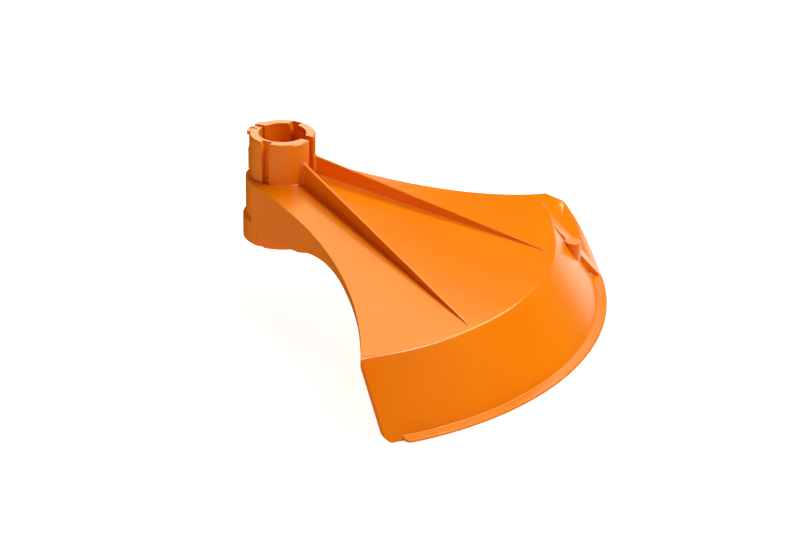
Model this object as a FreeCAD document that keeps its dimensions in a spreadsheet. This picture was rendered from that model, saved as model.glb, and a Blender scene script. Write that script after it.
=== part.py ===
import FreeCAD, Part
import math
import os
import re
import Sketcher

# Blade guard of a grass trimmer: one moulded shell that clamps on the drive tube.
# The collar's axis is +Z, the fan points along +X and the origin is at the foot of the collar.

NODE = "blade_guard"

# Driving sizes, in millimetres and degrees.
SIZES = (
    ("bore_radius", 12.7, "collar bore, for a one inch drive tube"),
    ("collar_wall", 5.0, "wall of the collar above the plate"),
    ("collar_top", 59.1, "height of the collar's rim"),
    ("rim_round", 0.6, "slope on the rim's outer edge"),
    ("collar_foot", 0.7, "slope where the collar meets the plate"),
    ("slot_width", 4.8, "open clamping slot at the front of the collar"),
    ("slot_shift", 0.5, "its middle, to the far side of the fan axis"),
    ("back_slot_width", 5.8, "slot with a tongue at the back of the collar"),
    ("slot_step", 1.5, "how far above the plate the slots end"),
    ("tongue_width", 3.4, "springy tongue in the back slot"),
    ("slit_width", 0.8, "slit beside that tongue"),
    ("groove_width", 4.2, "grooves that leave a thin flexing web"),
    ("groove_web", 1.4, "thickness of that web"),
    ("groove_flare", 1.2, "how much wider each side of a groove is at the rim"),
    ("flare_height", 4.0, "height of that flare"),
    ("window_height", 2.4, "opening at the foot of the near groove"),
    ("band_width", 7.0, "room for the clamping band below the stop"),
    ("band_stop", 1.4, "how far the stop at the back of the rim stands out"),
    ("stop_height", 2.2, "height of that stop"),
    ("band_ledge", 0.6, "how far the ledge under the band stands out"),
    ("ledge_height", 11.0, "height of that ledge"),
    ("stop_angle", 157.0, "angle where the stop begins, from the fan axis"),
    ("ledge_angle", 146.0, "angle where the ledge begins"),
    ("boss_step", 2.1, "boss under the plate, out from the collar"),
    ("boss_edge", 1.0, "slope on the boss's upper edge"),
    ("ring_step", 1.6, "ring at the boss's foot, out from the boss"),
    ("ring_height", 12.2, "height of that ring"),
    ("ring_slope", 2.4, "height of the slope above the ring"),
    ("notch_width", 4.0, "shallow notch in the ring's near side"),
    ("notch_height", 7.8, "height of that notch"),
    ("notch_depth", 0.6, "depth of that notch"),
    ("notch_set", 1.3, "its middle, behind the collar axis"),
    ("plate_top", 36.0, "height where the plate meets the collar"),
    ("plate_wall", 2.3, "plate thickness, upright"),
    ("crease_radius", 148.0, "where the plate turns down into the skirt"),
    ("crease_height", 1.6, "height of that crease"),
    ("crease_round", 2.5, "rounding of the crease"),
    ("skirt_spread", 25.95, "how far the skirt spreads out"),
    ("skirt_drop", 34.4, "height of the skirt"),
    ("skirt_wall", 3.0, "skirt thickness"),
    ("skirt_corner", 3.4, "rounding of the skirt's near lower corner"),
    ("lip_width", 4.05, "lip along the skirt's lower edge"),
    ("lip_lift", 0.6, "how far the lip is above that edge"),
    ("lip_wall", 1.3, "lip thickness"),
    ("lip_edge", 0.5, "slope on the lip's upper edge"),
    ("lip_start", 39.6, "angle of the lip's free end from the fan axis"),
    ("side_wall", 2.4, "thickness of the walls under the plate's sides"),
    ("near_arc", 148.0, "radius of the near side edge"),
    ("near_back", 26.0, "its centre, behind the collar axis"),
    ("near_waist", 3.9, "gap between that arc and the ring"),
    ("near_cut", 31.4, "angle of the skirt's near end to the fan axis"),
    ("far_arc", 141.9, "radius of the far side edge"),
    ("far_back", 33.9, "its centre, behind the collar axis"),
    ("far_waist", 3.8, "gap between that arc and the ring"),
    ("arch_foot", 6.3, "height of the walls' lower edge at the collar"),
    ("arch_knee", 30.0, "where that edge turns up, along the fan"),
    ("arch_knee_height", 10.1, "height of the edge there"),
    ("arch_rise", 37.0, "where the arch begins to round over"),
    ("arch_rise_height", 12.8, "height of the edge there"),
    ("arch_crown", 62.0, "radius of the arch's crown"),
    ("arch_fall", 70.0, "where the edge runs out into the plate"),
    ("arch_fall_height", 11.9, "height of the edge there"),
    ("arch_end", 95.0, "where the edge leaves the plate again, at the heel"),
    ("arch_end_height", 4.1, "height of the edge there"),
    ("heel_run", 7.0, "length of the heel along the fan"),
    ("heel_drop", 5.0, "height of the heel"),
    ("seat_angle", 33.4, "from here to the far end the skirt is flat, for the line cutter"),
    ("seat_turn", 6.5, "where the flat begins to bulge, across from the lip's end"),
    ("seat_length", 23.5, "the guard's flat far end, across from the lip's end"),
    ("seat_overlap", 10.0, "how far the seat reaches in under the plate"),
    ("bulge_set", 4.3, "where the bulge leaves the plate, out from the far edge's end or the crease"),
    ("bulge_width", 7.0, "width of the bulge's top on the far end"),
    ("bulge_bow", 110.0, "radius of the bulge's side on the far end"),
    ("rib_angle", 19.3, "angle of the two ribs to the fan axis"),
    ("rib_rise", 11.4, "height of the ribs at the collar"),
    ("rib_gap", 3.5, "how far short of the crease the ribs run out"),
    ("rib_wall", 1.4, "rib thickness"),
    ("rib_root", 1.1, "slope where the ribs meet the collar"),
    ("rib_foot", 1.6, "slope at the foot of the ribs"),
    ("post_radius", 4.5, "upright post for the line cutter's screw"),
    ("post_out", 11.8, "its distance out from the crease"),
    ("post_in", 1.6, "its angle before the seat"),
    ("post_drop", 8.6, "how far its top is below the crease"),
)
ALIASES = {name for name, size, note in SIZES}

# Radii, heights and slopes that follow from the sizes, as formulas.
COLLAR = "(bore_radius + collar_wall)"
BOSS = f"({COLLAR} + boss_step)"
RING = f"({BOSS} + ring_step)"
SKIRT = "(crease_radius + skirt_spread)"
LIP = f"({SKIRT} + lip_width)"
BOTTOM = "(crease_height - skirt_drop)"
LIP_FOOT = f"({BOTTOM} + lip_lift)"
PLATE_SLOPE = f"((plate_top - crease_height) / (crease_radius - {COLLAR}))"
SKIRT_SLOPE = "(skirt_drop / skirt_spread)"
SEAT_SLOPE = "((skirt_drop - lip_lift) / (skirt_spread + lip_width))"
PLATE_START = "(bore_radius + collar_wall / 2)"
SLOT_FOOT = "(plate_top + slot_step)"
LIP_END = f"({LIP} * sin(seat_angle))"
FAR_END = f"({LIP_END} + seat_length)"
ABOVE = "(2 * collar_top)"
BEYOND = f"(2 * {LIP})"


def plate_height(radius):
    """Height of the plate's top at a radius."""
    return f"(plate_top - {PLATE_SLOPE} * ({radius} - {COLLAR}))"


def level_width(slope, wall):
    """Level width of a sloping wall."""
    return f"({wall} * sqrt(1 + 1 / ({slope} * {slope})))"


def round_run(slope):
    """How far the crease's rounding runs to each side, for a skirt of this slope."""
    return f"(crease_round * tan((atan({slope}) - atan({PLATE_SLOPE})) / 2))"


def inner_crease(slope):
    """How far the inside of the crease lies out from the crease, for a skirt of this slope."""
    return f"((plate_wall - {slope} * {level_width(slope, 'skirt_wall')}) / ({slope} - {PLATE_SLOPE}))"


def larger(first, second):
    """The larger of two formulas."""
    return f"(({first} + {second} + abs({first} - {second})) / 2)"


def bound(formula):
    """The formula with each size named in the sheet."""
    return re.sub(r"[a-z_]+", lambda word: "sizes." + word[0] if word[0] in ALIASES else word[0], formula)


def number(formula):
    """Value of a formula; angles are in degrees."""
    value = sheet.evalExpression(formula)
    return float(getattr(value, "Value", value))


doc = FreeCAD.newDocument(NODE)
sheet = doc.addObject("Spreadsheet::Sheet", "sizes")
for row, (name, size, note) in enumerate(SIZES, start=1):
    sheet.set(f"A{row}", note)
    sheet.set(f"B{row}", str(size))
    sheet.setAlias(f"B{row}", name)
doc.recompute()

body = doc.addObject("PartDesign::Body", NODE)
body.Label = NODE
body.Placement = FreeCAD.Placement()
planes = {plane.Role: plane for plane in body.Origin.OriginFeatures}


def attach(sketch, plane, turn=None, **shift):
    """Lays a sketch on an origin plane, turned about the collar axis and moved in that plane's axes."""
    sketch.AttachmentSupport = [(planes[plane], "")]
    sketch.MapMode = "FlatFace"
    if turn:
        upward = FreeCAD.Vector(0, 0, 1) if plane == "XY_Plane" else FreeCAD.Vector(0, 1, 0)
        sketch.AttachmentOffset = FreeCAD.Placement(FreeCAD.Vector(), FreeCAD.Rotation(upward, number(turn)))
        sketch.setExpression("AttachmentOffset.Rotation.Angle", bound(turn))
    for axis, formula in shift.items():
        sketch.setExpression(f"AttachmentOffset.Base.{axis}", bound(formula))


def pin(sketch, edge, end, point):
    """Binds a point of the sketch to two formulas."""
    for kind, formula in zip(("DistanceX", "DistanceY"), point):
        rule = sketch.addConstraint(Sketcher.Constraint(kind, -1, 1, edge, end, number(formula)))
        sketch.setExpression(f"Constraints[{rule}]", bound(formula))


def set_radius(sketch, edge, radius):
    rule = sketch.addConstraint(Sketcher.Constraint("Radius", edge, number(radius)))
    sketch.setExpression(f"Constraints[{rule}]", bound(radius))


def arc_between(start, end, radius, side):
    """The short arc between two points; side is 1 with its centre on the left, -1 on the right."""
    chord = end - start
    away = FreeCAD.Vector(-chord.y, chord.x, 0).normalize()
    centre = (start + end) / 2 + away * side * math.sqrt(radius**2 - (chord.Length / 2)**2)
    first, last = (start, end) if side > 0 else (end, start)
    angles = [math.atan2(point.y - centre.y, point.x - centre.x) for point in (first, last)]
    return Part.ArcOfCircle(Part.Circle(centre, FreeCAD.Vector(0, 0, 1), radius), *angles)


def outline(name, plane, points, arcs=None, turn=None, **shift):
    """Closed sketch through points given by formulas; arcs maps an edge's number to its radius and side."""
    arcs = arcs or {}
    sketch = body.newObject("Sketcher::SketchObject", name)
    attach(sketch, plane, turn, **shift)
    places = [FreeCAD.Vector(number(x), number(y), 0) for x, y in points]
    count = len(points)
    for edge in range(count):
        start, end = places[edge], places[(edge + 1) % count]
        if edge in arcs:
            radius, side = arcs[edge]
            sketch.addGeometry(arc_between(start, end, number(radius), side))
        else:
            sketch.addGeometry(Part.LineSegment(start, end))

    def end_of(edge, first):
        turned = edge in arcs and arcs[edge][1] < 0
        return 2 if first == turned else 1

    for edge in range(count):
        following = (edge + 1) % count
        sketch.addConstraint(Sketcher.Constraint(
            "Coincident", edge, end_of(edge, False), following, end_of(following, True)))
    for edge in range(count):
        pin(sketch, edge, end_of(edge, True), points[edge])
    for edge, (radius, side) in arcs.items():
        set_radius(sketch, edge, radius)
    return sketch


def disc(name, centre, radius):
    """Level sketch of one circle."""
    sketch = body.newObject("Sketcher::SketchObject", name)
    attach(sketch, "XY_Plane")
    middle = FreeCAD.Vector(number(centre[0]), number(centre[1]), 0)
    sketch.addGeometry(Part.Circle(middle, FreeCAD.Vector(0, 0, 1), number(radius)))
    pin(sketch, 0, 3, centre)
    set_radius(sketch, 0, radius)
    return sketch


def swept(kind, name, sketch, **formulas):
    """Adds a pad, pocket, revolution or groove of a sketch, with its sizes bound to formulas."""
    feature = body.newObject("PartDesign::" + kind, name)
    feature.Profile = sketch
    if kind in ("Revolution", "Groove"):
        feature.ReferenceAxis = (sketch, ["V_Axis"])
    for size, formula in formulas.items():
        feature.setExpression(size, bound(formula))
    return feature


def cut_through(name, sketch):
    """Pocket through the whole guard, both ways from its sketch."""
    feature = swept("Pocket", name, sketch, Length=f"2 * {BEYOND}")
    feature.SideType = "Symmetric"
    return feature


def upright(kind, name, sketch, low, high):
    """Pad or pocket between two heights, of a level sketch."""
    sketch.setExpression("AttachmentOffset.Base.z", bound(low))
    feature = swept(kind, name, sketch, Length=f"{high} - ({low})")
    feature.Reversed = kind == "Pocket"
    return feature


def loft(name, first, *others):
    """Straight-sided loft through sketches."""
    feature = body.newObject("PartDesign::AdditiveLoft", name)
    feature.Profile = first
    feature.Sections = list(others)
    feature.Ruled = True
    return feature


class SideEdge:
    """One side of the fan in plan: a line that touches the ring, then a hollow arc to the end."""

    def __init__(self, side, arc, back, waist):
        self.side = side
        self.arc = arc
        self.back = back
        self.span = f"({RING} + {arc} + {waist})"
        self.out = f"sqrt({self.span} * {self.span} - {back} * {back})"
        self.lean = f"(270 deg - acos({back} / {self.span}) - asin(({RING} + {arc}) / {self.span}))"

    def mirrored(self, x, y):
        return (x, f"{self.side} * ({y})")

    def ring_point(self, shift="0"):
        """Where the line leaves the ring; shift moves the edge outwards."""
        radius = f"({RING} + {shift})"
        return self.mirrored(f"{radius} * cos({self.lean})", f"{radius} * sin({self.lean})")

    def line_end(self, shift="0"):
        """Where the line runs into the arc."""
        radius = f"({self.arc} - {shift})"
        return self.mirrored(f"0 - {self.back} - {radius} * cos({self.lean})",
                             f"{self.out} - {radius} * sin({self.lean})")

    def at_radius(self, reach, shift="0"):
        """Where the arc crosses a circle about the collar axis."""
        radius = f"({self.arc} - {shift})"
        foot = f"(({reach} * {reach} - {radius} * {radius} + {self.span} * {self.span}) / (2 * {self.span}))"
        rise = f"sqrt({reach} * {reach} - {foot} * {foot})"
        return self.mirrored(f"({rise} * {self.out} - {foot} * {self.back}) / {self.span}",
                             f"({foot} * {self.out} + {rise} * {self.back}) / {self.span}")

    def at_width(self, across, shift="0"):
        """Where the arc is this far out from the fan axis."""
        radius = f"({self.arc} - {shift})"
        drop = f"({self.out} - {across})"
        return self.mirrored(f"sqrt({radius} * {radius} - {drop} * {drop}) - {self.back}", across)


near = SideEdge(-1, "near_arc", "near_back", "near_waist")
far = SideEdge(1, "far_arc", "far_back", "far_waist")


def side_wall(name, edge, arc_end):
    """Wall that hangs under one side of the plate, left oversize outside and trimmed later."""
    over = "side_wall"
    under = "(0 - side_wall)"
    points = [edge.ring_point(over), edge.line_end(over), arc_end(over),
              arc_end(under), edge.line_end(under), edge.ring_point(under)]
    arcs = {1: (f"{edge.arc} - {over}", edge.side), 3: (f"{edge.arc} - {under}", -edge.side)}
    sketch = outline(name + "_plan", "XY_Plane", points, arcs)
    return upright("Pad", name, sketch, BOTTOM, "plate_top")


# Post for the line cutter's screw, cut off inside the skirt that carries it.
skirt_level = level_width(SKIRT_SLOPE, "skirt_wall")
post_reach = "(crease_radius + post_out)"
post_angle = "(seat_angle - post_in)"
post_place = (f"{post_reach} * cos({post_angle})", f"{post_reach} * sin({post_angle})")
post = disc("post_plan", post_place, "post_radius")
upright("Pad", "post", post, BOTTOM, "crease_height - post_drop")
clear_below = outline("clear_below_profile", "XZ_Plane", [
    (f"crease_radius - {skirt_level} / 2", "crease_height"),
    (f"{SKIRT} - {skirt_level} / 2", BOTTOM),
    (f"{SKIRT} - {skirt_level} / 2", f"{BOTTOM} - skirt_drop"),
    (f"crease_radius - {skirt_level} / 2", f"{BOTTOM} - skirt_drop"),
])
swept("Groove", "clear_below", clear_below, Angle="360")

# Walls under the plate's two sides, with their arched lower edge, cut off inside the plate.
side_wall("near_wall", near, lambda shift: near.at_radius("crease_radius", shift))
side_wall("far_wall", far, lambda shift: far.at_width(FAR_END, shift))
heel_end = "(arch_end + heel_run)"
heel_foot = "(arch_end_height - heel_drop)"
near_end = near.at_radius("crease_radius")
arch_stop = larger(f"({near_end[0]} + 2 * side_wall)", f"({heel_end} + side_wall)")
arch = outline("arch_profile", "XZ_Plane", [
    ("0", "arch_foot"),
    ("arch_knee", "arch_knee_height"),
    ("arch_rise", "arch_rise_height"),
    ("arch_fall", "arch_fall_height"),
    ("arch_end", "arch_end_height"),
    (heel_end, heel_foot),
    (arch_stop, f"{heel_foot} - {PLATE_SLOPE} * ({arch_stop} - {heel_end})"),
    (arch_stop, f"{heel_foot} - skirt_drop"),
    (f"0 - {LIP}", f"{heel_foot} - skirt_drop"),
    (f"0 - {LIP}", "arch_foot"),
], {2: ("arch_crown", -1)})
cut_through("arch", arch)
clear_above = outline("clear_above_profile", "XZ_Plane", [
    ("0", f"{plate_height('0')} - plate_wall / 2"),
    (BEYOND, f"{plate_height(BEYOND)} - plate_wall / 2"),
    (BEYOND, ABOVE),
    ("0", ABOVE),
])
swept("Groove", "clear_above", clear_above, Angle="360")

# Plate beyond the seat's start, trimmed along the straight crease and the bulge.
SINK = "plate_wall / 100"
seat_run = round_run(SEAT_SLOPE)
turn_y = f"({LIP_END} + seat_turn)"


def beside_crease(out, across):
    """Place along the fan of what lies out from the straight crease, at a width from the fan axis."""
    return f"((crease_radius + {out} - {across} * sin(seat_angle)) / cos(seat_angle))"


far_edge_end = f"({far.at_width(FAR_END)[0]})"
bulge_x = f"({larger(beside_crease('0', FAR_END), far_edge_end)} + bulge_set)"
plate = outline("far_plate_profile", "XZ_Plane", [
    (PLATE_START, plate_height(PLATE_START)),
    (LIP, plate_height(LIP)),
    (LIP, f"{plate_height(LIP)} - plate_wall"),
    (PLATE_START, f"{plate_height(PLATE_START)} - plate_wall"),
], turn="seat_angle")
swept("Revolution", "far_plate", plate, Angle="110 - seat_angle")
front = f"(crease_radius - 0.8 * {seat_run})"
plate_front = outline("far_plate_front_plan", "XY_Plane", [
    (f"{front} * cos(seat_angle)", f"{front} * sin(seat_angle)"),
    (beside_crease(f"({front} - crease_radius)", turn_y), turn_y),
    (f"{bulge_x} - 0.8 * {seat_run}", FAR_END),
    (f"{bulge_x} - 0.8 * {seat_run}", BEYOND),
    (BEYOND, BEYOND),
    (f"{BEYOND} * cos(seat_angle)", f"{BEYOND} * sin(seat_angle)"),
])
cut_through("far_plate_front", plate_front)

# Plate and skirt in one section, turned from the collar's back to the flat seat.
run = round_run(SKIRT_SLOPE)
plate_lean = f"atan({PLATE_SLOPE})"
skirt_lean = f"atan({SKIRT_SLOPE})"
inside = f"(crease_radius + {inner_crease(SKIRT_SLOPE)})"
shell = outline("shell_profile", "XZ_Plane", [
    (PLATE_START, plate_height(PLATE_START)),
    (f"crease_radius - {run} * cos({plate_lean})", f"crease_height + {run} * sin({plate_lean})"),
    (f"crease_radius + {run} * cos({skirt_lean})", f"crease_height - {run} * sin({skirt_lean})"),
    (SKIRT, BOTTOM),
    (f"{SKIRT} - {skirt_level}", BOTTOM),
    (inside, f"{plate_height(inside)} - plate_wall"),
    (PLATE_START, f"{plate_height(PLATE_START)} - plate_wall"),
], {1: ("crease_round", -1)}, turn="0 - 110")
swept("Revolution", "shell", shell, Angle="110 + seat_angle")

# Side edges of the plate, its walls and the skirt's two ends.
near_trim = outline("near_trim_plan", "XY_Plane", [
    near.ring_point(),
    near.line_end(),
    near_end,
    (f"{near_end[0]} + {BEYOND} * cos(near_cut)", f"{near_end[1]} - {BEYOND} * sin(near_cut)"),
    (BEYOND, f"0 - 3 * {BEYOND}"),
    (f"0 - {BEYOND}", f"0 - 3 * {BEYOND}"),
    (f"0 - {BEYOND}", near.ring_point()[1]),
], {1: ("near_arc", near.side)})
cut_through("near_trim", near_trim)
far_trim = outline("far_trim_plan", "XY_Plane", [
    far.ring_point(),
    far.line_end(),
    far.at_width(FAR_END),
    (BEYOND, FAR_END),
    (BEYOND, BEYOND),
    (f"0 - {BEYOND}", BEYOND),
    (f"0 - {BEYOND}", far.ring_point()[1]),
], {1: ("far_arc", far.side)})
cut_through("far_trim", far_trim)

# Lip along the skirt's lower edge, up to the seat.
lip = outline("lip_profile", "XZ_Plane", [
    (f"{SKIRT} - {skirt_level} / 2", LIP_FOOT),
    (LIP, LIP_FOOT),
    (LIP, f"{LIP_FOOT} + lip_wall - lip_edge"),
    (f"{LIP} - lip_edge", f"{LIP_FOOT} + lip_wall"),
    (f"{SKIRT} - {skirt_level} / 2", f"{LIP_FOOT} + lip_wall"),
], turn="0 - lip_start")
swept("Revolution", "lip", lip, Angle="lip_start + seat_angle")

# Flat seat for the line cutter, bulging up to the plate at the guard's far end.
# Each section runs out over the plate, the rounded crease, the middle and the foot, then back inside.
seat_level = level_width(SEAT_SLOPE, "skirt_wall")
seat_inside = inner_crease(SEAT_SLOPE)
seat_foot = "(skirt_spread + lip_width)"
seat_mid_height = f"crease_height - {SEAT_SLOPE} * seat_overlap"
before_bend = f"(0 - {seat_run} * cos(atan({PLATE_SLOPE})))"
after_bend = f"({seat_run} * cos(atan({SEAT_SLOPE})))"
after_bend_height = f"crease_height - {seat_run} * sin(atan({SEAT_SLOPE}))"


def sunk(x, y, sink):
    """Height of a point sunk below the plate's top."""
    radius = f"sqrt({x} * {x} + {y} * {y})"
    return f"{plate_height(radius)} - {sink}"


def seat_section(name, place, height, **position):
    """Section of the flat seat; place gives the sketch's x of what lies out from the crease."""
    points = [(place(out), height(place(out), SINK)) for out in ("(0 - seat_overlap)", before_bend)]
    points += [(place(after_bend), after_bend_height), (place("seat_overlap"), seat_mid_height)]
    points += [(place(seat_foot), LIP_FOOT), (place(f"({seat_foot} - {seat_level})"), LIP_FOOT)]
    points += [(place(f"(seat_overlap - {seat_level})"), seat_mid_height)]
    points += [(place(out), height(place(out), "plate_wall")) for out in (seat_inside, "(0 - seat_overlap)")]
    return outline(name, "XZ_Plane", points, {1: ("crease_round", -1)}, **position)


seat_start = seat_section(
    "seat_start", lambda out: f"(crease_radius + {out})", lambda x, sink: f"{plate_height(x)} - {sink}",
    turn="seat_angle")
seat_middle = seat_section(
    "seat_middle", lambda out: beside_crease(out, turn_y), lambda x, sink: sunk(x, turn_y, sink),
    z=f"0 - {turn_y}")
bulge_back = f"(({bulge_x} + {far_edge_end}) / 2)"
bulge_out = f"({bulge_x} + bulge_width)"
bulge_foot = beside_crease(seat_foot, FAR_END)
bulge_slope = f"(({sunk(bulge_out, FAR_END, SINK)} - {LIP_FOOT}) / ({bulge_foot} - {bulge_out}))"
bulge_level = level_width(bulge_slope, "skirt_wall")
seat_end = outline("seat_end", "XZ_Plane", [
    (bulge_back, sunk(bulge_back, FAR_END, SINK)),
    (f"{bulge_x} - {seat_run}", sunk(f"({bulge_x} - {seat_run})", FAR_END, SINK)),
    (f"{bulge_x} + {seat_run}", sunk(f"({bulge_x} + {seat_run})", FAR_END, SINK)),
    (bulge_out, sunk(bulge_out, FAR_END, SINK)),
    (bulge_foot, LIP_FOOT),
    (f"{bulge_foot} - {bulge_level}", LIP_FOOT),
    (f"{bulge_out} - plate_wall / 2", sunk(bulge_out, FAR_END, "plate_wall")),
    (bulge_x, sunk(bulge_x, FAR_END, "plate_wall")),
    (bulge_back, sunk(bulge_back, FAR_END, "plate_wall")),
], {1: ("bulge_bow", -1), 3: ("bulge_bow", -1)}, z=f"0 - {FAR_END}")
loft("seat", seat_start, seat_middle, seat_end)


def rib_section(name, turn, reach, rise, foot, half="rib_wall / 2"):
    """Section across a rib with splayed feet, at a distance from the collar axis."""
    low = f"{plate_height(reach)} - plate_wall / 2"
    base = plate_height(reach)
    return outline(name, "YZ_Plane", [
        (f"0 - {half} - {foot}", low),
        (f"{half} + {foot}", low),
        (f"{half} + {foot}", base),
        (f"{half} + {foot} / 3", f"{base} + {foot} / 3"),
        (half, f"{base} + {foot}"),
        (half, f"{base} + {rise}"),
        (f"0 - {half}", f"{base} + {rise}"),
        (f"0 - {half}", f"{base} + {foot}"),
        (f"0 - {half} - {foot} / 3", f"{base} + {foot} / 3"),
        (f"0 - {half} - {foot}", base),
    ], turn=turn, x=f"{reach} * sin({turn})", z=f"{reach} * cos({turn})")


def rib(name, turn):
    """Tapered rib from the collar out along the plate, splayed where it leaves the collar."""
    rib_end = "(crease_radius - rib_gap)"
    root_end = f"({COLLAR} + rib_root)"
    steep = f"(rib_rise / ({rib_end} - {COLLAR}))"
    start_rise = f"(rib_rise + {steep} * collar_wall / 2)"
    root_rise = f"(rib_rise - {steep} * rib_root)"
    splay = f"(rib_wall / 2 + {root_end} - {PLATE_START})"
    start = rib_section(name + "_start", turn, PLATE_START, start_rise, "rib_foot", splay)
    root = rib_section(name + "_root", turn, root_end, root_rise, "rib_foot")
    end = rib_section(name + "_end", turn, rib_end, "(rib_foot / 5)", "(rib_foot / 10)")
    return loft(name, start, root, end)


rib("near_rib", "(0 - rib_angle)")
rib("far_rib", "rib_angle")

# Collar and boss as one turned form, with the band's stop and ledge on its back, then the bore.
boss_rim = f"({BOSS} - boss_edge)"
foot_rim = f"({COLLAR} + collar_foot)"
core = outline("core_profile", "XZ_Plane", [
    ("0", "0"),
    (RING, "0"),
    (RING, "ring_height"),
    (BOSS, "ring_height + ring_slope"),
    (BOSS, f"{plate_height(BOSS)} - boss_edge"),
    (boss_rim, plate_height(boss_rim)),
    (foot_rim, plate_height(foot_rim)),
    (f"{COLLAR} + collar_foot / 3", "plate_top + collar_foot / 3"),
    (COLLAR, "plate_top + collar_foot"),
    (COLLAR, "collar_top - rim_round"),
    (f"{COLLAR} - rim_round", "collar_top"),
    ("0", "collar_top"),
])
swept("Revolution", "core", core, Angle="360")


def band_rest(name, begin, out, low, high):
    """Low step round the back of the collar that keeps the band in place."""
    profile = outline(name + "_profile", "XZ_Plane", [
        (PLATE_START, low),
        (f"{COLLAR} + {out}", low),
        (f"{COLLAR} + {out}", high),
        (PLATE_START, high),
    ], turn=begin)
    return swept("Revolution", name, profile, Angle=f"360 - 2 * {begin}")


band_top = "(collar_top - stop_height)"
ledge_top = f"({band_top} - band_width)"
band_rest("stop", "stop_angle", "band_stop", band_top, "(collar_top - rim_round / 2)")
band_rest("ledge", "ledge_angle", "band_ledge", f"({ledge_top} - ledge_height)", ledge_top)
cut_through("bore", disc("bore_plan", ("0", "0"), "bore_radius"))


def slot(name, x_from, x_to, y_from, y_to, low, high):
    """Square cut in the collar or ring between two heights."""
    corners = [(x_from, y_from), (x_to, y_from), (x_to, y_to), (x_from, y_to)]
    return upright("Pocket", name, outline(name + "_plan", "XY_Plane", corners), low, high)


# An open front slot, a back slot with its tongue and two thin webs let the band squeeze the collar.
slot("front_slot", "0", RING, "slot_shift - slot_width / 2", "slot_shift + slot_width / 2", SLOT_FOOT, ABOVE)
slot("back_slot", f"0 - {RING}", "0", "tongue_width - back_slot_width / 2", "back_slot_width / 2",
     SLOT_FOOT, ABOVE)
slot("back_slit", f"0 - {RING}", "0 - bore_radius - collar_wall / 3", "0 - back_slot_width / 2",
     "slit_width - back_slot_width / 2", "collar_top - flare_height", ABOVE)


def groove(name, side, inner, outer, foot):
    """Upright groove in the collar, flared at the rim; side is 1 on the far side and -1 on the near side."""
    half = "groove_width / 2"
    low, high = sorted((f"{side} * ({inner})", f"{side} * ({outer})"), key=number)
    slot(name, f"0 - {half}", half, low, high, foot, ABOVE)
    flare = outline(name + "_flare_profile", "XZ_Plane", [
        (f"0 - {half}", "collar_top - flare_height"),
        (half, "collar_top - flare_height / 2"),
        (f"{half} + groove_flare / 2", ABOVE),
        (f"0 - {half} - groove_flare", ABOVE),
        (f"0 - {half} - groove_flare", "collar_top"),
    ], z=f"0 - ({low})")
    return swept("Pocket", name + "_flare", flare, Length=f"{high} - ({low})")


groove("near_groove", -1, "bore_radius + groove_web", RING, f"({SLOT_FOOT} - slot_step)")
slot("near_window", "0 - groove_width / 2", "groove_width / 2", f"0 - {RING}", "0",
     f"{SLOT_FOOT} - slot_step", f"{SLOT_FOOT} - slot_step + window_height")
groove("far_groove", 1, "0", f"{COLLAR} - groove_web", SLOT_FOOT)

# Shallow notch at the foot of the ring's near side.
slot("ring_notch", "0 - notch_set - notch_width / 2", "notch_width / 2 - notch_set",
     f"0 - {RING} - side_wall", f"notch_depth - {RING}", "0 - notch_height", "notch_height")

# Rounded near corner of the skirt, cut across its end, and rounded free end of the lip.
corner_turn = "(90 - near_cut)"
corner = f"(({near_end[0]}) * cos({corner_turn}) + ({near_end[1]}) * sin({corner_turn}))"
corner_cut = outline("skirt_corner_profile", "XZ_Plane", [
    (corner, f"{BOTTOM} + skirt_corner"),
    (f"{corner} + skirt_corner", BOTTOM),
    (f"{corner} + skirt_corner", f"{BOTTOM} - skirt_corner"),
    (f"{corner} - skirt_corner", f"{BOTTOM} - skirt_corner"),
    (f"{corner} - skirt_corner", f"{BOTTOM} + skirt_corner"),
], {0: ("skirt_corner", 1)}, turn=corner_turn)
cut_through("skirt_corner_cut", corner_cut)
lip_tip = "(0.8 * lip_width)"
tip_cut = outline("lip_tip_plan", "XY_Plane", [
    (LIP, lip_tip),
    (f"{LIP} - {lip_tip}", "0"),
    (f"{LIP} - {lip_tip}", f"0 - {lip_tip}"),
    (f"{LIP} + {lip_tip}", f"0 - {lip_tip}"),
    (f"{LIP} + {lip_tip}", lip_tip),
], {0: (lip_tip, -1)}, turn="0 - lip_start")
upright("Pocket", "lip_tip_cut", tip_cut, f"{LIP_FOOT} - lip_wall / 4", f"{LIP_FOOT} + 2 * lip_wall")

doc.recompute()
for item in doc.Objects:
    if {"Invalid", "Error"} & set(item.State):
        raise RuntimeError(f"{item.Name} did not compute")
if body.Shape.isNull() or not body.Shape.isValid() or len(body.Shape.Solids) != 1:
    raise RuntimeError("the guard is not one valid solid")
os.makedirs("parts", exist_ok=True)
body.Shape.exportStep(f"parts/{NODE}.step")
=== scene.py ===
import math

import bpy
from mathutils import Matrix, Vector


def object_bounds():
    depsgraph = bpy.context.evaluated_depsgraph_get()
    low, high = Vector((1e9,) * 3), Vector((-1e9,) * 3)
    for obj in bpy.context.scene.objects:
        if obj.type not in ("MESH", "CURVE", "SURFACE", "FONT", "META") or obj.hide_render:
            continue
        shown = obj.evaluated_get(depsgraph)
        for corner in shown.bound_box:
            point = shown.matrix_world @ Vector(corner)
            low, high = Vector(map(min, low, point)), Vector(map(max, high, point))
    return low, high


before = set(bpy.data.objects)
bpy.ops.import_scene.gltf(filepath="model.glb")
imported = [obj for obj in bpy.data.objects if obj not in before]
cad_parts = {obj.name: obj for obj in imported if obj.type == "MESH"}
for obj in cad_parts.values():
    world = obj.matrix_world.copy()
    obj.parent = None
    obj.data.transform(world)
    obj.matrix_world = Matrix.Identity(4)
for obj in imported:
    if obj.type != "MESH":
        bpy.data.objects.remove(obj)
cad_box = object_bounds()

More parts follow.
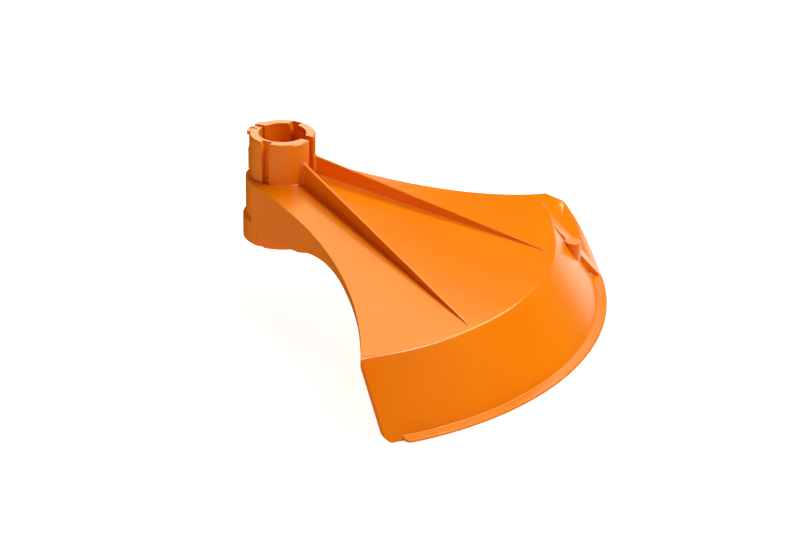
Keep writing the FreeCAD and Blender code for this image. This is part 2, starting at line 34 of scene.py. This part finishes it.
# Camera, fitted to the photograph: metres, degrees and pixels, with the sensor in millimetres
CAMERA_PLACE = (0.5509, -0.9232, 0.5244)
CAMERA_AZIMUTH = 27.40
CAMERA_ELEVATION = 26.86
CAMERA_ROLL = -1.36
FOCAL_PIXELS = 2195.6
IMAGE_WIDTH = 800
SENSOR_WIDTH = 36.0
CLIP_NEAR = 0.05
CLIP_FAR = 20.0

# Lights and surroundings: colours are linear, the aim point in metres
WARM_WHITE = (1.0, 0.96, 0.80)
YELLOW_WHITE = (1.0, 0.95, 0.50)
ORANGE_BOUNCE = (1.0, 0.26, 0.12)
LIGHTS_AIM = (0.06, 0.0, 0.0)
WORLD_COLOUR = (1.0, 0.96, 0.88, 1.0)
WORLD_STRENGTH = 0.01

# Studio floor, sheet and wall, in metres
FLOOR_SIZE = 6.0
FLOOR_GAP = 0.0002
SHEET_LOW = (0.10, 0.09)
SHEET_HIGH = (0.60, 1.20)
SHEET_RISE = 0.00005
WALL_HEIGHT = 3.0
WALL_SIDES = 64

# Studio paper, which glows so that it shows as white
FLOOR_SHADE = 0.45
SHEET_SHADE = 0.20
WALL_SHADE = 0.45
PAPER_WHITE = (1.0, 1.0, 1.0, 1.0)
PAPER_GLOW = 0.90
PAPER_ROUGHNESS = 0.85
PAPER_SPECULAR = 0.1

# Moulded plastic: colours are linear, the edge's radius in metres
ORANGE = (0.790, 0.216, 0.0015, 1.0)
ORANGE_WARM = (0.765, 0.200, 0.0012, 1.0)
# Lighter, yellower orange for edges: a painted highlight
ORANGE_EDGE_HIGHLIGHT = (0.830, 0.300, 0.025, 1.0)
PLASTIC_IOR = 1.5
EDGE_ROUND = 0.0006
EDGE_SAMPLES = 6

# Noise: scale, detail and roughness
CLOUD_NOISE = (22.0, 3.0, 0.55)
GRAIN_NOISE = (1900.0, 2.0, 0.6)
WAVES_NOISE = (70.0, 1.0, 0.4)
SMEAR_NOISE = (260.0, 4.0, 0.6)
FIBRE_NOISE = (900.0, 3.0, 0.6)

# Bumps: strength, and height in metres
WAVES_BUMP = (0.10, 0.00045)
GRAIN_BUMP = (0.18, 0.00006)
FIBRE_BUMP = (0.05, 0.0001)

# Ranges: the values that are read, and what they become
# How strongly edges take the painted highlight colour
EDGE_HIGHLIGHT_READ = (0.99, 0.80)
EDGE_HIGHLIGHT_SHARE = (0.0, 0.6)
CLOUD_READ = (0.35, 0.65)
CLOUD_SHARE = (0.0, 1.0)
SMEAR_READ = (0.3, 0.7)
SMEAR_ROUGHNESS = (0.19, 0.27)

# Colour sockets of a Mix node, which shares their names with its other types
MIX_FIRST = 6
MIX_SECOND = 7
MIX_RESULT = 2


def direction(azimuth, elevation):
    """Unit vector at an azimuth from +X towards +Y and an elevation, in degrees."""
    a = math.radians(azimuth)
    e = math.radians(elevation)
    return Vector((math.cos(a) * math.cos(e), math.sin(a) * math.cos(e), math.sin(e)))


def add_camera():
    """The photograph's camera: it looks along +Y turned towards -X, downwards, with a small roll."""
    azimuth = math.radians(CAMERA_AZIMUTH)
    elevation = math.radians(CAMERA_ELEVATION)
    roll = math.radians(CAMERA_ROLL)
    forward = Vector((
        -math.sin(azimuth) * math.cos(elevation),
        math.cos(azimuth) * math.cos(elevation),
        -math.sin(elevation),
    ))
    level_right = Vector((math.cos(azimuth), math.sin(azimuth), 0.0))
    level_up = level_right.cross(forward)
    right = level_right * math.cos(roll) - level_up * math.sin(roll)
    up = level_right * math.sin(roll) + level_up * math.cos(roll)
    data = bpy.data.cameras.new("camera")
    data.sensor_width = SENSOR_WIDTH
    data.lens = FOCAL_PIXELS * SENSOR_WIDTH / IMAGE_WIDTH
    data.clip_start = CLIP_NEAR
    data.clip_end = CLIP_FAR
    camera = bpy.data.objects.new("camera", data)
    turn = Matrix((right, up, -forward)).transposed().to_4x4()
    camera.matrix_world = Matrix.Translation(CAMERA_PLACE) @ turn
    bpy.context.scene.collection.objects.link(camera)
    bpy.context.scene.camera = camera


def add_softbox(name, azimuth, elevation, distance, width, height, power, colour):
    """A rectangular soft light that faces the aim point; degrees, metres and watts."""
    data = bpy.data.lights.new(name, "AREA")
    data.shape = "RECTANGLE"
    data.size = width
    data.size_y = height
    data.energy = power
    data.color = colour
    lamp = bpy.data.objects.new(name, data)
    towards = direction(azimuth, elevation)
    lamp.location = Vector(LIGHTS_AIM) + towards * distance
    lamp.rotation_mode = "QUATERNION"
    lamp.rotation_quaternion = towards.to_track_quat("Z", "Y")
    bpy.context.scene.collection.objects.link(lamp)


def new_material(name):
    """A material with only a shader and an output in its node tree."""
    material = bpy.data.materials.new(name)
    material.use_nodes = True
    tree = material.node_tree
    tree.nodes.clear()
    shader = tree.nodes.new("ShaderNodeBsdfPrincipled")
    output = tree.nodes.new("ShaderNodeOutputMaterial")
    tree.links.new(shader.outputs["BSDF"], output.inputs["Surface"])
    return material, tree, shader


def add_noise(tree, coordinates, kind):
    """Noise over the object's own coordinates."""
    scale, detail, roughness = kind
    noise = tree.nodes.new("ShaderNodeTexNoise")
    noise.inputs["Scale"].default_value = scale
    noise.inputs["Detail"].default_value = detail
    noise.inputs["Roughness"].default_value = roughness
    tree.links.new(coordinates, noise.inputs["Vector"])
    return noise.outputs["Fac"]


def add_range(tree, value, read, become):
    """Maps a value from one range to another."""
    mapped = tree.nodes.new("ShaderNodeMapRange")
    mapped.inputs["From Min"].default_value = read[0]
    mapped.inputs["From Max"].default_value = read[1]
    mapped.inputs["To Min"].default_value = become[0]
    mapped.inputs["To Max"].default_value = become[1]
    tree.links.new(value, mapped.inputs["Value"])
    return mapped.outputs["Result"]


def add_mix(tree, factor, first, second):
    """A colour between two, by a factor; each is a colour or a socket."""
    mix = tree.nodes.new("ShaderNodeMix")
    mix.data_type = "RGBA"
    tree.links.new(factor, mix.inputs["Factor"])
    for number, colour in ((MIX_FIRST, first), (MIX_SECOND, second)):
        if isinstance(colour, tuple):
            mix.inputs[number].default_value = colour
        else:
            tree.links.new(colour, mix.inputs[number])
    return mix.outputs[MIX_RESULT]


def add_bump(tree, height, relief, normal):
    """A bump over an earlier normal."""
    strength, distance = relief
    bump = tree.nodes.new("ShaderNodeBump")
    bump.inputs["Strength"].default_value = strength
    bump.inputs["Distance"].default_value = distance
    tree.links.new(height, bump.inputs["Height"])
    tree.links.new(normal, bump.inputs["Normal"])
    return bump.outputs["Normal"]


def plastic_material():
    """Satin orange moulding: fine grain, faint sink waves, softly rounded edges with a painted
    highlight.
    """
    material, tree, shader = new_material("orange_moulded_plastic")
    place = tree.nodes.new("ShaderNodeTexCoord").outputs["Object"]

    # Edges are where the rounded normal leaves the surface's own, and there a lighter colour is
    # mixed in as a painted highlight
    rounded = tree.nodes.new("ShaderNodeBevel")
    rounded.samples = EDGE_SAMPLES
    rounded.inputs["Radius"].default_value = EDGE_ROUND
    surface = tree.nodes.new("ShaderNodeNewGeometry")
    edge = tree.nodes.new("ShaderNodeVectorMath")
    edge.operation = "DOT_PRODUCT"
    tree.links.new(rounded.outputs["Normal"], edge.inputs[0])
    tree.links.new(surface.outputs["Normal"], edge.inputs[1])
    edge_highlight = add_range(tree, edge.outputs["Value"], EDGE_HIGHLIGHT_READ, EDGE_HIGHLIGHT_SHARE)

    cloud = add_noise(tree, place, CLOUD_NOISE)
    tone = add_range(tree, cloud, CLOUD_READ, CLOUD_SHARE)
    base = add_mix(tree, tone, ORANGE, ORANGE_WARM)
    # Painted highlight: edges turn a lighter orange
    colour = add_mix(tree, edge_highlight, base, ORANGE_EDGE_HIGHLIGHT)
    tree.links.new(colour, shader.inputs["Base Color"])

    grain = add_noise(tree, place, GRAIN_NOISE)
    waves = add_noise(tree, place, WAVES_NOISE)
    smear = add_noise(tree, place, SMEAR_NOISE)
    gloss = add_range(tree, smear, SMEAR_READ, SMEAR_ROUGHNESS)
    tree.links.new(gloss, shader.inputs["Roughness"])
    normal = add_bump(tree, waves, WAVES_BUMP, rounded.outputs["Normal"])
    normal = add_bump(tree, grain, GRAIN_BUMP, normal)
    tree.links.new(normal, shader.inputs["Normal"])

    shader.inputs["IOR"].default_value = PLASTIC_IOR
    return material


def paper_material(name, shade):
    """Matt white studio paper."""
    material, tree, shader = new_material(name)
    place = tree.nodes.new("ShaderNodeTexCoord").outputs["Object"]
    fibre = add_noise(tree, place, FIBRE_NOISE)
    normal = tree.nodes.new("ShaderNodeNewGeometry").outputs["Normal"]
    tree.links.new(add_bump(tree, fibre, FIBRE_BUMP, normal), shader.inputs["Normal"])
    shader.inputs["Base Color"].default_value = (shade, shade, shade, 1.0)
    shader.inputs["Emission Color"].default_value = PAPER_WHITE
    shader.inputs["Emission Strength"].default_value = PAPER_GLOW
    shader.inputs["Roughness"].default_value = PAPER_ROUGHNESS
    shader.inputs["Specular IOR Level"].default_value = PAPER_SPECULAR
    return material


def add_paper(name, corners, faces, shade):
    """A piece of the studio's paper, which isn't part of the object."""
    mesh = bpy.data.meshes.new(name)
    mesh.from_pydata(corners, [], faces)
    mesh.materials.append(paper_material(name + "_paper", shade))
    paper = bpy.data.objects.new(name, mesh)
    bpy.context.scene.collection.objects.link(paper)
    return paper


def add_sheet(name, low, high, level, shade):
    """A flat rectangle of paper between two corners."""
    corners = [
        (low[0], low[1], level),
        (high[0], low[1], level),
        (high[0], high[1], level),
        (low[0], high[1], level),
    ]
    return add_paper(name, corners, [(0, 1, 2, 3)], shade)


def add_floor(level):
    """A plain pale floor, which the part mirrors only behind its far end, as in the photograph."""
    half = FLOOR_SIZE / 2
    floor = add_sheet("studio_floor", (-half, -half), (half, half), level, FLOOR_SHADE)
    floor.visible_glossy = False
    add_sheet("studio_sheet", SHEET_LOW, SHEET_HIGH, level + SHEET_RISE, SHEET_SHADE)


def add_backdrop(level):
    """A round white wall behind low views, which neither lights nor shades the part."""
    ring = [direction(360.0 * i / WALL_SIDES, 0.0) * FLOOR_SIZE / 2 for i in range(WALL_SIDES)]
    corners = [(p.x, p.y, level + rise) for rise in (0.0, WALL_HEIGHT) for p in ring]
    faces = []
    for i in range(WALL_SIDES):
        j = (i + 1) % WALL_SIDES
        faces.append((i, j, WALL_SIDES + j, WALL_SIDES + i))
    wall = add_paper("studio_backdrop", corners, faces, WALL_SHADE)
    wall.visible_diffuse = False
    wall.visible_glossy = False
    wall.visible_shadow = False


def add_world():
    """Dim, even surroundings, with colours shown by the Standard transform."""
    world = bpy.data.worlds.new("studio")
    world.use_nodes = True
    background = world.node_tree.nodes["Background"]
    background.inputs["Color"].default_value = WORLD_COLOUR
    background.inputs["Strength"].default_value = WORLD_STRENGTH
    bpy.context.scene.world = world
    bpy.context.scene.view_settings.view_transform = "Standard"


def add_lights():
    """Softboxes at the right and behind, and an orange bounce in front.

    Their colours and powers were fitted to the photograph.
    """
    add_softbox(
        "key_softbox", azimuth=15.0, elevation=55.0, distance=1.2,
        width=0.40, height=0.40, power=8.6, colour=WARM_WHITE,
    )
    add_softbox(
        "right_softbox", azimuth=65.0, elevation=44.0, distance=1.3,
        width=0.56, height=0.40, power=7.6, colour=YELLOW_WHITE,
    )
    add_softbox(
        "left_softbox", azimuth=112.0, elevation=63.0, distance=1.2,
        width=0.80, height=0.60, power=5.2, colour=YELLOW_WHITE,
    )
    add_softbox(
        "low_left_softbox", azimuth=124.5, elevation=26.0, distance=1.2,
        width=0.68, height=0.47, power=2.9, colour=WARM_WHITE,
    )
    add_softbox(
        "front_bounce", azimuth=-70.0, elevation=25.0, distance=1.5,
        width=0.60, height=0.60, power=6.0, colour=ORANGE_BOUNCE,
    )


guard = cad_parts["blade_guard"]
plastic = plastic_material()
for slot in guard.material_slots:
    slot.material = plastic

floor_level = cad_box[0].z - FLOOR_GAP
add_floor(floor_level)
add_backdrop(floor_level)
add_world()
add_lights()
add_camera()
